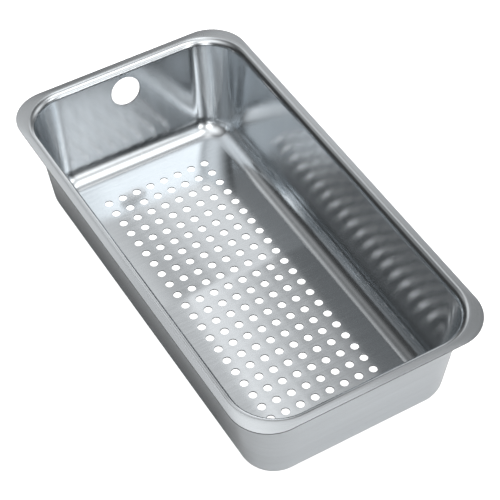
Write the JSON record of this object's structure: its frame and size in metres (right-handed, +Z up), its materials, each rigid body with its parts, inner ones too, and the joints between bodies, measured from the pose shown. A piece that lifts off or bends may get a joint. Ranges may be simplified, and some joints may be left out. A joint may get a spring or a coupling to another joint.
{
  "type": "sink strainer bowl",
  "caption": "Oblong stainless steel strainer bowl for a kitchen sink, with a flat rim, rounded drafted walls, a perforated floor and a round hole high in one end wall.",
  "frame": {"origin": "centre of the base's underside, on the surface that the bowl stands on", "axes": "+X along the length, away from the end wall with the round hole; +Y across the width; +Z up"},
  "size_m": [0.3626, 0.19, 0.0835],
  "materials": {
    "stainless": "satin, brushed along the rim and drawn up the walls"
  },
  "bodies": {
    "root": {"strainer_bowl": "stainless"}
  },
  "joints": []
}
